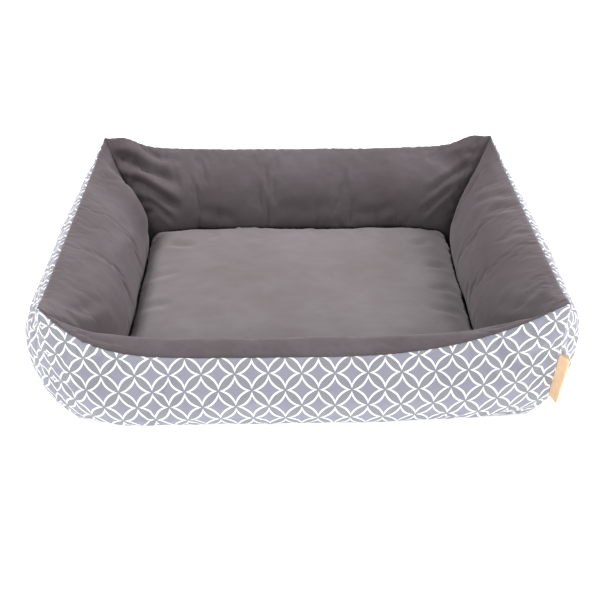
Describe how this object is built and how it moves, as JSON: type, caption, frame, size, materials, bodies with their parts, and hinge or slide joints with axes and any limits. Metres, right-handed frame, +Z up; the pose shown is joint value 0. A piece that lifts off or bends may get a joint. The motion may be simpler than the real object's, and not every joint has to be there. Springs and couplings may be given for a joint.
{
  "type": "pet cushion bed",
  "caption": "Rectangular pet bed: stuffed walls with pointed corners and a lower front, round a loose zipped cushion, with a leather tab on one corner.",
  "frame": {"origin": "on the floor, under the middle of the bed", "axes": "+Z up, +X to the bed's right as seen from its low front, -Y out of the front"},
  "size_m": [0.8, 0.6203, 0.2047],
  "materials": {
    "printed_cotton": "plain-woven cotton printed with white lines",
    "grey_suede": "brushed micro suede with a short nap",
    "fibre_filling": "loose polyester fibre",
    "non_slip_cloth": "black cloth with rubber dots",
    "pad_foam": "soft foam sheet",
    "tan_leather": "smooth tan leather, satin",
    "zip_tape": "woven tape",
    "zip_nylon": "nylon coil",
    "zip_metal": "nickel plated"
  },
  "bodies": {
    "bed": {"front_outer_panel": "printed_cotton", "rear_outer_panel": "printed_cotton", "left_outer_panel": "printed_cotton", "right_outer_panel": "printed_cotton", "front_inner_panel": "grey_suede", "rear_inner_panel": "grey_suede", "left_inner_panel": "grey_suede", "right_inner_panel": "grey_suede", "front_filling": "fibre_filling", "rear_filling": "fibre_filling", "left_filling": "fibre_filling", "right_filling": "fibre_filling", "bottom_panel": "non_slip_cloth", "floor_pad": "pad_foam", "floor_lining": "grey_suede"},
    "cushion": {"cushion_top_cover": "grey_suede", "cushion_bottom_cover": "printed_cotton", "cushion_filling": "fibre_filling", "zip_tape_upper": "zip_tape", "zip_tape_lower": "zip_tape", "zip_coil_upper": "zip_nylon", "zip_coil_lower": "zip_nylon", "zip_stop_left": "zip_metal", "zip_stop_right": "zip_metal"},
    "slider": {"zip_slider": "zip_metal"},
    "pull": {"zip_pull": "zip_metal"},
    "tab": {"leather_tab": "tan_leather"}
  },
  "joints": [
    {"name": "cushion_lift", "type": "slide", "parent": "bed", "child": "cushion", "axis": [0, 0, 1], "range_m": [0, 0.25]},
    {"name": "zip_slide", "type": "slide", "parent": "cushion", "child": "slider", "axis": [-1, 0, 0], "range_m": [0, 0.389]},
    {"name": "pull_swing", "type": "hinge", "parent": "slider", "child": "pull", "pos_m": [0.1945, 0.2016, 0.0396], "axis": [0, 0, -1], "range_deg": [0, 170]},
    {"name": "tab_flex", "type": "hinge", "parent": "bed", "child": "tab", "pos_m": [0.34599, -0.28399, 0.086], "axis": [0.0702, -0.0702, 0.9951], "range_deg": [-35, 35], "stiffness_Nm_per_rad": 0.01}
  ]
}
